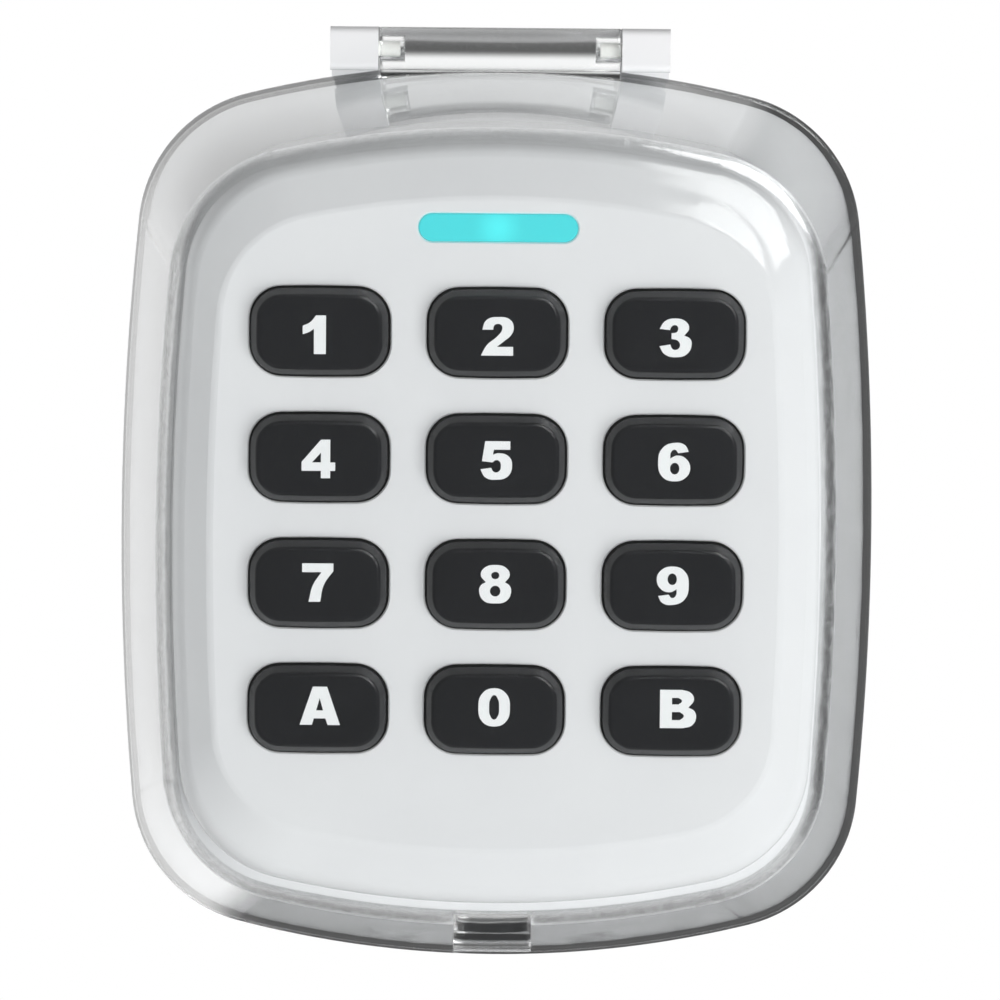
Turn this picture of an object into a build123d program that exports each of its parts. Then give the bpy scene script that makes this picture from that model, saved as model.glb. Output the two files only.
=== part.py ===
"""Wall-mounted alarm keypad: a white case with twelve rubber keys under a hinged clear cover.

Millimetres. The origin is the middle of the face that lies on the wall. X runs to the
right, Z runs up, and the room is towards -Y. A depth is a distance out from the wall.
"""
import os

from build123d import *

# The cover's rim is the outline that every other outline of the case is drawn in from.
rim_half_width = 40.4
rim_half_height = 48.1
side_bow_radius = 325.0
end_bow_radius = 112.0
rim_corner_radius = 15.3
widest_height = -2.7

# Case
rear_edge_depth = 0.2
flange_depth = 9.0
flange_inset = 0.4
flange_wall = 2.2
body_side_inset = 6.1
body_end_inset = 7.1
body_side_draft = 0.4
body_end_draft = 0.9
body_corner_radius = 13.5
body_wall = 2.4
face_depth = 26.8

# The face's wide bevel, from a soft shoulder on the body's walls to a crease round the face
bevel_depth = 2.4
bevel_side_width = 4.1
bevel_end_width = 6.0
face_corner_radius = 11.0
shoulder_radius = 3.0
crease_radius = 1.5

# Clear cover
cover_gap = 0.3
cover_depth = 32.1
cover_wall = 1.4
cover_front_wall = 2.2
cover_side_slope = 5.0 / 20.7
cover_end_slope = 6.45 / 20.7
cover_front_corner_radius = 14.0
cover_edge_radius = 1.5
cover_inner_edge_radius = 0.6
cover_rim_radius = 0.4

# Seal under the cover's rim, in a step round the flange's outer edge
rim_seal_width = 1.7
rim_seal_step = 0.6
rim_seal_gap = 0.1

# Hinge along the top edge
hinge_depth = 12.5
hinge_height = 49.5
barrel_radius = 2.3
barrel_half_length = 12.7
ear_start = 12.9
ear_end = 18.0
ear_rear_depth = 2.0
ear_reach = 1.9
ear_edge_radius = 0.8
ear_underside = 1.0
pin_radius = 0.8
pin_reach = 2.1
running_clearance = 0.05

# Keys
key_half_width = 7.1
key_half_height = 4.5
key_corner_radius = 3.2
key_bow_x = 60.0
key_bow_z = 133.0
key_pitch_x = 18.4
key_pitch_z = 13.1
keys_middle_height = 0.5
key_bottom_depth = 21.6
key_top_depth = 28.8
key_gap = 0.25
opening_chamfer = 0.15
key_names = ["1", "2", "3", "4", "5", "6", "7", "8", "9", "a", "0", "b"]

# Circuit board and what stands on it
board_front_depth = 20.0
board_thickness = 1.6
board_margin = 0.8
board_screw_x = 24.0
board_screw_z = 31.5
light_bar_height = 31.0
light_bar_length = 16.4
light_bar_width = 2.8
light_bar_gap = 0.08

# Rear plate
plate_thickness = 2.4
seal_thickness = 1.0
wall_hole_x = 22.0
wall_hole_z = 28.0
wall_hole_radius = 2.2
wall_hole_head_radius = 3.7

# Battery bay
cell_radius = 5.25
cell_length = 44.5
cell_depth = 9.6
tray_middle_height = -16.0


def layer(depth):
    """A plane parallel to the wall, facing the room."""
    return Plane.XZ.offset(depth)


def bowed(half_width, half_height, side_radius, end_radius, corner_radius, widest=0):
    """A closed outline of four shallow arcs with rounded corners."""
    side = side_radius - half_width
    end = end_radius - half_height
    arcs = [
        ((side, widest), 0, side_radius),
        ((-side, widest), 180, side_radius),
        ((0, end), 90, end_radius),
        ((0, -end), -90, end_radius),
    ]
    with BuildSketch(mode=Mode.PRIVATE) as outline:
        Rectangle(3 * half_width, 3 * half_height)
        for (x, z), turn, radius in arcs:
            with Locations(Location((x, z, 0), (0, 0, turn))):
                Circle(radius, mode=Mode.INTERSECT)
        fillet(outline.vertices(), corner_radius)
    return outline.sketch


def case_outline(side_inset, end_inset, corner_radius):
    """The rim's outline drawn in by one amount at the sides and one at the ends."""
    return bowed(
        rim_half_width - side_inset,
        rim_half_height - end_inset,
        side_bow_radius - side_inset,
        end_bow_radius - end_inset,
        corner_radius,
        widest_height,
    )


def rim_outline(inset):
    """The rim's outline drawn in evenly."""
    return case_outline(inset, inset, rim_corner_radius - inset)


def rim_seal_outline():
    """The band that the rim seal covers, from the flange's outer edge inwards."""
    with BuildSketch(mode=Mode.PRIVATE) as band:
        add(rim_outline(flange_inset))
        add(rim_outline(flange_inset + rim_seal_width), mode=Mode.SUBTRACT)
    return band.sketch


def body_outline(inset):
    """The raised body's base outline drawn in evenly."""
    return case_outline(body_side_inset + inset, body_end_inset + inset, body_corner_radius - inset)


def shoulder_outline(side_inset, end_inset, corner_radius):
    """The body's outline where its drafted walls end, drawn in by further amounts."""
    return case_outline(
        body_side_inset + body_side_draft + side_inset,
        body_end_inset + body_end_draft + end_inset,
        corner_radius,
    )


def key_outline(growth):
    """A key's outline grown evenly by a small amount."""
    return bowed(
        key_half_width + growth,
        key_half_height + growth,
        key_bow_x + growth,
        key_bow_z + growth,
        key_corner_radius + growth,
    )


def finish(piece, name):
    """Name a finished piece and write its file."""
    piece.part.label = name
    export_step(piece.part, f"parts/{name}.step")


def cover_inset(slope, depth):
    """How far a sloping cover wall has come in from the rim at a depth."""
    return slope * (depth - cover_rim_depth)


cover_rim_depth = flange_depth + cover_gap
rim_seal_rear_depth = flange_depth - rim_seal_step
rim_seal_front_depth = cover_rim_depth - rim_seal_gap
key_places = [
    (key_pitch_x * (column - 1), keys_middle_height + key_pitch_z * (1.5 - row))
    for row in range(4)
    for column in range(3)
]
board_rear_depth = board_front_depth - board_thickness
face_inner_depth = face_depth - body_wall
ledge_depth = plate_thickness + seal_thickness
ledge_width = 1.6
rabbet_inset = flange_inset + flange_wall
cavity_inset = rabbet_inset + ledge_width
flange_front_wall = 2.2
board_screw_places = [(x, z) for x in (-board_screw_x, board_screw_x) for z in (-board_screw_z, board_screw_z)]

# Lock screw in the bottom edge, which ties the case to the rear plate
lock_depth = 4.9
lock_shank_radius = 1.2
lock_head_radius = 2.3
lock_head_length = 1.5
lock_recess = 1.9
lock_tab_low = -43.6
lock_tab_high = -38.6
bottom_edge = -(rim_half_height - flange_inset)

# Hooks at the top of the rear plate
hook_x = 15.0
hook_half_width = 3.0
hook_tip = 43.6
hook_gap = 0.3
hook_pocket_gap = 0.5
hook_pocket_height = 4.0
hook_nose_depth = 4.4
hook_depth = 6.2

# ---------------------------------------------------------------- front housing
rear_edge_radius = 0.8
cavity_edge_radius = 3.4
boss_radius = 2.7
boss_root = 0.5
board_screw_radius = 1.0
thread_bite = 0.02
screw_hole_gap = 0.2
mat_half_width = 28.8
mat_half_height = 27.3
mat_corner_radius = 4.0
press_rib = 1.2
mat_thickness = 1.2
ear_arm_low = 44.0

with BuildPart() as front_housing:
    with BuildSketch(layer(rear_edge_depth)):
        add(rim_outline(flange_inset))
    extrude(amount=flange_depth - rear_edge_depth)
    fillet(front_housing.faces().sort_by(Axis.Y)[0].edges(), rear_edge_radius)

    # raised body: walls drawn in a little towards the face, then a wide bevel round the face
    shoulder_depth = face_depth - bevel_depth
    with BuildPart(mode=Mode.PRIVATE) as body:
        with BuildSketch(layer(flange_depth - 1)):
            add(body_outline(0))
        with BuildSketch(layer(shoulder_depth)):
            add(shoulder_outline(0, 0, body_corner_radius - body_side_draft))
        loft()
        with BuildSketch(layer(shoulder_depth)):
            add(shoulder_outline(0, 0, body_corner_radius - body_side_draft))
        with BuildSketch(layer(face_depth)):
            add(shoulder_outline(bevel_side_width, bevel_end_width, face_corner_radius))
        loft()
        fillet(body.faces().sort_by(Axis.Y)[0].edges(), crease_radius)
        fillet(body.edges().filter_by_position(Axis.Y, -shoulder_depth, -shoulder_depth), shoulder_radius)
    add(body.part)

    # hinge ears: an arm out of the flange with a square knuckle on the hinge line
    for side in (-1, 1):
        with BuildSketch(Plane.YZ.offset(side * ear_start)):
            with Locations((-hinge_depth, hinge_height)):
                RectangleRounded(2 * ear_reach, 2 * barrel_radius, ear_edge_radius)
            with BuildLine():
                Polyline(
                    (-hinge_depth, hinge_height + barrel_radius),
                    (-ear_rear_depth, hinge_height + barrel_radius),
                    (-ear_rear_depth, ear_arm_low),
                    (-flange_depth, ear_arm_low),
                    (-flange_depth, hinge_height - ear_underside),
                    (-hinge_depth, hinge_height - ear_underside),
                    close=True,
                )
            make_face()
        extrude(amount=side * (ear_end - ear_start))

    # step for the seal that the cover's rim closes on
    with BuildSketch(layer(rim_seal_rear_depth)):
        add(rim_seal_outline())
    extrude(amount=rim_seal_step, mode=Mode.SUBTRACT)

    # hollow: a rabbet for the rear plate, the flange cavity, then the body cavity
    with BuildSketch(layer(0)):
        add(rim_outline(rabbet_inset))
    extrude(amount=ledge_depth, mode=Mode.SUBTRACT)
    with BuildSketch(layer(0)):
        add(rim_outline(cavity_inset))
    extrude(amount=flange_depth - flange_front_wall, mode=Mode.SUBTRACT)
    with BuildPart(mode=Mode.PRIVATE) as body_cavity:
        with BuildSketch(layer(0)):
            add(body_outline(body_wall + body_side_draft))
        extrude(amount=face_inner_depth)
        fillet(body_cavity.faces().sort_by(Axis.Y)[0].edges(), cavity_edge_radius)
    add(body_cavity.part, mode=Mode.SUBTRACT)

    # bosses for the board screws, and the rib that presses the key mat onto the board
    with BuildSketch(layer(board_front_depth)):
        with Locations(*board_screw_places):
            Circle(boss_radius)
    extrude(amount=face_inner_depth - board_front_depth + boss_root)
    with BuildSketch(layer(board_front_depth + mat_thickness)):
        with Locations((0, keys_middle_height)):
            RectangleRounded(2 * mat_half_width, 2 * mat_half_height, mat_corner_radius)
            RectangleRounded(
                2 * (mat_half_width - press_rib),
                2 * (mat_half_height - press_rib),
                mat_corner_radius - press_rib,
                mode=Mode.SUBTRACT,
            )
    extrude(amount=face_inner_depth - board_front_depth - mat_thickness + boss_root)
    with BuildSketch(layer(board_front_depth)):
        with Locations(*board_screw_places):
            Circle(board_screw_radius + thread_bite)
    extrude(amount=face_inner_depth - board_front_depth, mode=Mode.SUBTRACT)

    # openings in the face for the keys and the light bar
    with BuildSketch(layer(face_inner_depth - 1)):
        with Locations(*key_places):
            add(key_outline(key_gap))
        with Locations((0, light_bar_height)):
            SlotOverall(light_bar_length + 2 * light_bar_gap, light_bar_width + 2 * light_bar_gap)
    extrude(amount=body_wall + 2, mode=Mode.SUBTRACT)
    for opening in front_housing.faces().sort_by(Axis.Y)[0].inner_wires():
        chamfer(opening.edges(), opening_chamfer)

    # screw hole and head recess in the bottom edge, pockets for the plate's hooks
    with BuildSketch(Plane.XY.offset(bottom_edge - 1)):
        with Locations((0, -lock_depth)):
            Circle(lock_head_radius + screw_hole_gap)
    extrude(amount=1 + lock_recess, mode=Mode.SUBTRACT)
    with BuildSketch(Plane.XY.offset(bottom_edge)):
        with Locations((0, -lock_depth)):
            Circle(lock_shank_radius + screw_hole_gap)
    extrude(amount=cavity_inset + 1, mode=Mode.SUBTRACT)
    with BuildSketch(layer(hook_nose_depth - hook_gap)):
        with Locations((-hook_x, hook_tip + hook_pocket_gap), (hook_x, hook_tip + hook_pocket_gap)):
            Rectangle(
                2 * (hook_half_width + hook_gap), hook_pocket_height, align=(Align.CENTER, Align.MAX)
            )
    extrude(amount=hook_depth - hook_nose_depth + 2 * hook_gap, mode=Mode.SUBTRACT)

    # hinge pin holes through the ears
    with BuildSketch(Plane.YZ.offset(-ear_end - 1)):
        with Locations((-hinge_depth, hinge_height)):
            Circle(pin_radius)
    extrude(amount=2 * (ear_end + 1), mode=Mode.SUBTRACT)
finish(front_housing, "front_housing")

# ---------------------------------------------------------------- clear cover
cover_inner_depth = cover_depth - cover_front_wall
barrel_bore_reach = pin_reach + 0.5
web_top = hinge_height + 0.4
web_low = 46.7
lug_half_width = 4.0
lug_root_height = -39.0
lug_tip_height = -43.9
lug_edge_radius = 0.5
# the lug's underside meets the bottom wall this far in front of the rim and above its lowest point
lug_run_out = 1.0

with BuildPart() as clear_cover:
    # drafted box, narrower towards the room, with a rounded front edge
    for depth, corner in ((cover_rim_depth, rim_corner_radius), (cover_depth, cover_front_corner_radius)):
        side = cover_inset(cover_side_slope, depth)
        end = cover_inset(cover_end_slope, depth)
        with BuildSketch(layer(depth)):
            add(case_outline(side, end, corner))
    loft()
    fillet(clear_cover.faces().sort_by(Axis.Y)[0].edges(), cover_edge_radius)
    fillet(clear_cover.faces().sort_by(Axis.Y)[-1].edges(), cover_rim_radius)

    # hinge barrel and the web that carries it on the top wall
    with BuildSketch(Plane.YZ.offset(-barrel_half_length)):
        with Locations((-hinge_depth, hinge_height)):
            Circle(barrel_radius)
        with BuildLine():
            Polyline(
                (-cover_rim_depth, web_top),
                (-cover_rim_depth, web_low),
                (-hinge_depth, web_low - 1),
                (-hinge_depth, web_top),
                close=True,
            )
        make_face()
    extrude(amount=2 * barrel_half_length)

    # finger lug on the bottom wall: flush with the front, and running out to nothing at the rim
    with BuildPart(mode=Mode.PRIVATE) as lug:
        with BuildSketch(Plane.YZ.offset(-lug_half_width)):
            with BuildLine():
                Polyline(
                    (-cover_depth, lug_root_height),
                    (-cover_depth, lug_tip_height),
                    (-cover_rim_depth - lug_run_out, lug_run_out - rim_half_height),
                    (-cover_rim_depth - lug_run_out, lug_root_height),
                    close=True,
                )
            make_face()
        extrude(amount=2 * lug_half_width)
        fillet(lug.faces().sort_by(Axis.Y)[0].edges().sort_by(Axis.Z)[0], lug_edge_radius)
    add(lug.part)

    # hollow
    with BuildPart(mode=Mode.PRIVATE) as cover_cavity:
        for depth, corner in (
            (cover_rim_depth, rim_corner_radius),
            (cover_inner_depth, cover_front_corner_radius),
        ):
            side = cover_inset(cover_side_slope, depth) + cover_wall
            end = cover_inset(cover_end_slope, depth) + cover_wall
            with BuildSketch(layer(depth)):
                add(case_outline(side, end, corner - cover_wall))
        loft()
        fillet(cover_cavity.faces().sort_by(Axis.Y)[0].edges(), cover_inner_edge_radius)
    add(cover_cavity.part, mode=Mode.SUBTRACT)

    # blind bearing holes in the barrel's ends
    for side in (-1, 1):
        with BuildSketch(Plane.YZ.offset(side * barrel_half_length)):
            with Locations((-hinge_depth, hinge_height)):
                Circle(pin_radius + running_clearance)
        extrude(amount=-side * barrel_bore_reach, mode=Mode.SUBTRACT)
finish(clear_cover, "clear_cover")

# ---------------------------------------------------------------- rim seal
with BuildPart() as rim_seal:
    with BuildSketch(layer(rim_seal_rear_depth)):
        add(rim_seal_outline())
    extrude(amount=rim_seal_front_depth - rim_seal_rear_depth)
finish(rim_seal, "rim_seal")

# ---------------------------------------------------------------- hinge pins
pin_tip = barrel_half_length - pin_reach
pin_end = ear_end - 0.3
pin_dimple_radius = 0.4
pin_dimple_depth = 1.5

with BuildPart() as hinge_pins:
    for side in (-1, 1):
        with BuildSketch(Plane.YZ.offset(side * pin_tip)):
            with Locations((-hinge_depth, hinge_height)):
                Circle(pin_radius)
                Circle(pin_dimple_radius, mode=Mode.SUBTRACT)
        extrude(amount=side * pin_dimple_depth)
        with BuildSketch(Plane.YZ.offset(side * (pin_tip + pin_dimple_depth))):
            with Locations((-hinge_depth, hinge_height)):
                Circle(pin_radius)
        extrude(amount=side * (pin_end - pin_tip - pin_dimple_depth))
finish(hinge_pins, "hinge_pins")

# ---------------------------------------------------------------- keys and their contact pills
key_skirt_growth = 0.4
key_skirt_height = 1.2
key_bevel_width = 1.3
key_bevel_height = 0.7
key_edge_radius = 0.5
pill_radius = 3.0
pill_proud = 0.25
pill_seat = 0.5

for name, place in zip(key_names, key_places):
    with BuildPart() as key:
        with BuildSketch(layer(key_bottom_depth)):
            with Locations(place):
                add(key_outline(0))
        extrude(amount=key_top_depth - key_bottom_depth)
        top = key.faces().sort_by(Axis.Y)[0]
        chamfer(top.edges(), key_bevel_height, key_bevel_width, reference=top)
        fillet(key.faces().sort_by(Axis.Y)[0].edges(), key_edge_radius)
        with BuildSketch(layer(key_bottom_depth)):
            with Locations(place):
                add(key_outline(key_skirt_growth))
        extrude(amount=key_skirt_height)
        with BuildSketch(layer(key_bottom_depth)):
            with Locations(place):
                Circle(pill_radius)
        extrude(amount=pill_seat, mode=Mode.SUBTRACT)
    finish(key, f"key_{name}")
    with BuildPart() as pill:
        with BuildSketch(layer(key_bottom_depth - pill_proud)):
            with Locations(place):
                Circle(pill_radius)
        extrude(amount=pill_proud + pill_seat)
    finish(pill, f"contact_pill_{name}")

# ---------------------------------------------------------------- key mat
collar_gap = 0.3
collar_wall = 0.8
collar_height = 2.2

with BuildPart() as key_mat:
    with BuildSketch(layer(board_front_depth)):
        with Locations((0, keys_middle_height)):
            RectangleRounded(2 * mat_half_width, 2 * mat_half_height, mat_corner_radius)
    extrude(amount=mat_thickness)
    with BuildSketch(layer(board_front_depth + mat_thickness)):
        with Locations(*key_places):
            add(key_outline(key_skirt_growth + collar_gap + collar_wall))
    extrude(amount=collar_height)
    with BuildSketch(layer(board_front_depth)):
        with Locations(*key_places):
            add(key_outline(key_skirt_growth + collar_gap))
    extrude(amount=mat_thickness + collar_height, mode=Mode.SUBTRACT)
finish(key_mat, "key_mat")

# ---------------------------------------------------------------- light bar and its lamps
light_flange = 1.2
light_bar_bottom = 22.6
light_bar_proud = 0.12
light_bar_edge_radius = 0.1
lamp_pitch = 5.0
lamp_length = 2.0
lamp_lens_length = 1.4
lamp_width = 1.25
lamp_base_height = 0.4
lamp_lens_height = 0.5
lamp_places = [(lamp_pitch * i, light_bar_height) for i in (-1, 0, 1)]

with BuildPart() as light_bar:
    with BuildSketch(layer(light_bar_bottom)):
        with Locations((0, light_bar_height)):
            SlotOverall(light_bar_length + 2 * light_flange, light_bar_width + 2 * light_flange)
    extrude(amount=face_inner_depth - light_bar_bottom)
    with BuildSketch(layer(face_inner_depth)):
        with Locations((0, light_bar_height)):
            SlotOverall(light_bar_length, light_bar_width)
    extrude(amount=body_wall + light_bar_proud)
    fillet(light_bar.faces().sort_by(Axis.Y)[0].edges(), light_bar_edge_radius)
finish(light_bar, "light_bar")

with BuildPart() as status_leds:
    with BuildSketch(layer(board_front_depth)):
        with Locations(*lamp_places):
            Rectangle(lamp_length, lamp_width)
    extrude(amount=lamp_base_height)
    with BuildSketch(layer(board_front_depth + lamp_base_height)):
        with Locations(*lamp_places):
            Rectangle(lamp_lens_length, lamp_width)
    extrude(amount=lamp_lens_height)
finish(status_leds, "status_leds")

# ---------------------------------------------------------------- circuit board
pad_thickness = 0.05
pad_radius = 2.6
pad_slot = 0.5
post_radius = 1.5
peg_radius = 1.0
peg_gap = 0.1
peg_height = 1.4
tray_post_places = [(-20.0, tray_middle_height), (20.0, tray_middle_height)]

with BuildPart() as circuit_board:
    with BuildSketch(layer(board_rear_depth)):
        add(body_outline(body_wall + body_side_draft + board_margin))
        with Locations(*board_screw_places):
            Circle(board_screw_radius + screw_hole_gap, mode=Mode.SUBTRACT)
        with Locations(*tray_post_places):
            Circle(peg_radius + peg_gap, mode=Mode.SUBTRACT)
    extrude(amount=board_thickness)
finish(circuit_board, "circuit_board")

# two half-moon carbon pads under every key, bridged by its pill
with BuildPart() as contact_tracks:
    with BuildSketch(layer(board_front_depth)):
        with Locations(*key_places):
            Circle(pad_radius)
            Rectangle(pad_slot, 3 * pad_radius, mode=Mode.SUBTRACT)
    extrude(amount=pad_thickness)
finish(contact_tracks, "contact_tracks")

# square chip with a row of legs along each side
chip_place = (-2.0, 20.0)
chip_side = 7.0
chip_height = 1.0
chip_standoff = 0.1
leg_pitch = 0.8
leg_row_pitch = 8.0
leg_length = 1.6
leg_width = 0.35
leg_thickness = 0.3
legs_per_side = 8

with BuildPart() as microcontroller:
    with BuildSketch(layer(board_rear_depth - chip_standoff - chip_height)):
        with Locations(chip_place):
            Rectangle(chip_side, chip_side)
    extrude(amount=chip_height)
    with BuildSketch(layer(board_rear_depth - leg_thickness)):
        with Locations(chip_place):
            with GridLocations(leg_pitch, leg_row_pitch, legs_per_side, 2):
                Rectangle(leg_width, leg_length)
            with GridLocations(leg_row_pitch, leg_pitch, 2, legs_per_side):
                Rectangle(leg_length, leg_width)
    extrude(amount=leg_thickness)
finish(microcontroller, "microcontroller")

# small daughter board with a sheet metal can over the radio
radio_place = (17.0, 19.0)
radio_board_width = 17.0
radio_board_height = 20.0
radio_board_thickness = 1.0
shield_drop = 1.5
shield_side = 14.0
shield_height = 2.0
shield_corner_radius = 0.6

with BuildPart() as radio_module:
    with BuildSketch(layer(board_rear_depth - radio_board_thickness)):
        with Locations(radio_place):
            Rectangle(radio_board_width, radio_board_height)
    extrude(amount=radio_board_thickness)
    with BuildSketch(layer(board_rear_depth - radio_board_thickness - shield_height)):
        with Locations((radio_place[0], radio_place[1] - shield_drop)):
            RectangleRounded(shield_side, shield_side, shield_corner_radius)
    extrude(amount=shield_height)
finish(radio_module, "radio_module")

# wire antenna, bent round the top of the board
wire_radius = 0.4
wire_depth = board_rear_depth - 1.4
wire_start = (21.0, 27.8)
wire_bend_radius = 3.0
wire_foot = 0.4

with BuildPart() as antenna:
    with BuildLine(layer(wire_depth)) as wire:
        FilletPolyline(
            wire_start, (21.0, 34.6), (-18.5, 34.6), (-18.5, 26.2), (8.0, 26.2), radius=wire_bend_radius
        )
    with BuildSketch(Plane(origin=wire.line @ 0, z_dir=wire.line % 0)):
        Circle(wire_radius)
    sweep()
    with BuildSketch(layer(wire_depth)):
        with Locations((wire_start[0], wire_start[1] + wire_foot)):
            Rectangle(2 * wire_radius, 2 * wire_radius)
    extrude(amount=wire_foot)
finish(antenna, "antenna")

# round sounder with a hole in its end
buzzer_place = (-17.0, 14.0)
buzzer_radius = 6.0
buzzer_height = 4.5
buzzer_edge_radius = 0.5
sound_hole_radius = 1.0
sound_hole_depth = 1.5

with BuildPart() as buzzer:
    with BuildSketch(layer(board_rear_depth - buzzer_height)):
        with Locations(buzzer_place):
            Circle(buzzer_radius)
    extrude(amount=buzzer_height)
    fillet(buzzer.faces().sort_by(Axis.Y)[-1].edges(), buzzer_edge_radius)
    with BuildSketch(layer(board_rear_depth - buzzer_height)):
        with Locations(buzzer_place):
            Circle(sound_hole_radius)
    extrude(amount=sound_hole_depth, mode=Mode.SUBTRACT)
finish(buzzer, "buzzer")

# ---------------------------------------------------------------- tamper switch
tamper_place = (2.0, 3.0)
tamper_body_depth = 14.8
tamper_tip_depth = 13.6
tamper_body_side = 6.0
tamper_body_corner_radius = 0.4
tamper_well_depth = 1.0
tamper_plunger_radius = 1.65
tamper_plunger_gap = 0.1
tamper_post_radius = 2.4

with BuildPart() as tamper_switch:
    with BuildSketch(layer(tamper_body_depth)):
        with Locations(tamper_place):
            RectangleRounded(tamper_body_side, tamper_body_side, tamper_body_corner_radius)
    extrude(amount=board_rear_depth - tamper_body_depth)
    with BuildSketch(layer(tamper_body_depth)):
        with Locations(tamper_place):
            Circle(tamper_plunger_radius + tamper_plunger_gap)
    extrude(amount=tamper_well_depth, mode=Mode.SUBTRACT)
finish(tamper_switch, "tamper_switch")

with BuildPart() as tamper_plunger:
    with BuildSketch(layer(tamper_tip_depth)):
        with Locations(tamper_place):
            Circle(tamper_plunger_radius)
    extrude(amount=tamper_body_depth + tamper_well_depth - tamper_tip_depth)
finish(tamper_plunger, "tamper_plunger")

# ---------------------------------------------------------------- battery bay
tray_floor_depth = 14.9
tray_floor = 1.2
tray_wall = 1.2
tray_half_length = 27.0
cell_pitch = 11.2
tray_cell_gap = 0.4
tray_corner_radius = 1.5
tray_half_height = cell_pitch / 2 + cell_radius + tray_cell_gap + tray_wall
tray_rear_depth = 5.0
tray_end = tray_half_length - tray_wall
contact_plate = 0.3
cell_shift = tray_end - contact_plate - cell_length / 2
cell_rows = [tray_middle_height - cell_pitch / 2, tray_middle_height + cell_pitch / 2]

with BuildPart() as battery_tray:
    with BuildSketch(layer(tray_rear_depth)):
        with Locations((0, tray_middle_height)):
            RectangleRounded(2 * tray_half_length, 2 * tray_half_height, tray_corner_radius)
    extrude(amount=tray_floor_depth + tray_floor - tray_rear_depth)
    with BuildSketch(layer(tray_rear_depth)):
        with Locations((0, tray_middle_height)):
            Rectangle(2 * (tray_half_length - tray_wall), 2 * (tray_half_height - tray_wall))
    extrude(amount=tray_floor_depth - tray_rear_depth, mode=Mode.SUBTRACT)
    with BuildSketch(layer(tray_floor_depth + tray_floor)):
        with Locations(*tray_post_places):
            Circle(post_radius)
    extrude(amount=board_rear_depth - tray_floor_depth - tray_floor)
    with BuildSketch(layer(board_rear_depth)):
        with Locations(*tray_post_places):
            Circle(peg_radius)
    extrude(amount=peg_height)
finish(battery_tray, "battery_tray")

# two cells, head to tail, each with its small positive cap
cap_radius = 1.9
cap_height = 1.5

with BuildPart() as battery_cells:
    for height, way in zip(cell_rows, (1, -1)):
        tail = way * (cell_shift - cell_length / 2)
        neck = tail + way * (cell_length - cap_height)
        for radius, start, length in (
            (cell_radius, tail, cell_length - cap_height),
            (cap_radius, neck, cap_height),
        ):
            with BuildSketch(Plane.YZ.offset(start)):
                with Locations((-cell_depth, height)):
                    Circle(radius)
            extrude(amount=way * length)
finish(battery_cells, "battery_cells")

# a coil spring behind the flat end of each cell, and a plate across each end of the bay
spring_wire = 0.35
spring_turns = 4
spring_radius = 3.0
spring_gap = 0.01

with BuildPart() as battery_springs:
    for height, way in zip(cell_rows, (1, -1)):
        foot = -way * (tray_end - contact_plate - spring_wire - spring_gap)
        length = 2 * (cell_shift - spring_wire - spring_gap)
        with BuildLine() as coil:
            Helix(
                pitch=length / spring_turns,
                height=length,
                radius=spring_radius,
                center=(foot, -cell_depth, height),
                direction=(way, 0, 0),
            )
        with BuildSketch(Plane(origin=coil.line @ 0, z_dir=coil.line % 0)):
            Circle(spring_wire)
        sweep(is_frenet=True)
finish(battery_springs, "battery_springs")

contact_plate_width = 8.0
contact_plate_length = 19.9

with BuildPart() as battery_contacts:
    for side in (-1, 1):
        with BuildSketch(Plane.YZ.offset(side * tray_end)):
            with Locations((-cell_depth, tray_middle_height)):
                Rectangle(contact_plate_width, contact_plate_length)
        extrude(amount=-side * contact_plate)
finish(battery_contacts, "battery_contacts")

# ---------------------------------------------------------------- screws
board_screw_head = 1.2
board_screw_head_radius = 1.9
board_screw_reach = 3.6
board_drive = (2.2, 0.45, 0.7)
lock_drive = (2.8, 0.5, 0.8)

with BuildPart() as board_screws:
    with BuildSketch(layer(board_rear_depth - board_screw_head)):
        with Locations(*board_screw_places):
            Circle(board_screw_head_radius)
    extrude(amount=board_screw_head)
    with BuildSketch(layer(board_rear_depth)):
        with Locations(*board_screw_places):
            Circle(board_screw_radius)
    extrude(amount=board_thickness + board_screw_reach)
    slot_length, slot_width, slot_depth = board_drive
    with BuildSketch(layer(board_rear_depth - board_screw_head)):
        with Locations(*board_screw_places):
            Rectangle(slot_length, slot_width)
            Rectangle(slot_width, slot_length)
    extrude(amount=slot_depth, mode=Mode.SUBTRACT)
finish(board_screws, "board_screws")

lock_head_low = bottom_edge + lock_recess - lock_head_length
lock_tip_gap = 0.6

with BuildPart() as lock_screw:
    with BuildSketch(Plane.XY.offset(lock_head_low)):
        with Locations((0, -lock_depth)):
            Circle(lock_head_radius)
    extrude(amount=lock_head_length)
    with BuildSketch(Plane.XY.offset(lock_head_low + lock_head_length)):
        with Locations((0, -lock_depth)):
            Circle(lock_shank_radius)
    extrude(amount=lock_tab_high - lock_tip_gap - lock_head_low - lock_head_length)
    slot_length, slot_width, slot_depth = lock_drive
    with BuildSketch(Plane.XY.offset(lock_head_low)):
        with Locations((0, -lock_depth)):
            Rectangle(slot_length, slot_width)
            Rectangle(slot_width, slot_length)
    extrude(amount=slot_depth, mode=Mode.SUBTRACT)
finish(lock_screw, "lock_screw")

# ---------------------------------------------------------------- rear plate and seal
plate_gap = 0.25
lock_tab_half_width = 4.0
lock_tab_depth = 6.5
hook_leg_low = 40.4
hook_leg_high = 42.0
pocket_pitch_x = 34.0
pocket_pitch_z = 42.5
pocket_width = 27.5
pocket_height = 36.0
pocket_corner_radius = 7.0
pocket_depth = 0.9
hole_pad_radius = 6.0

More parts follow.
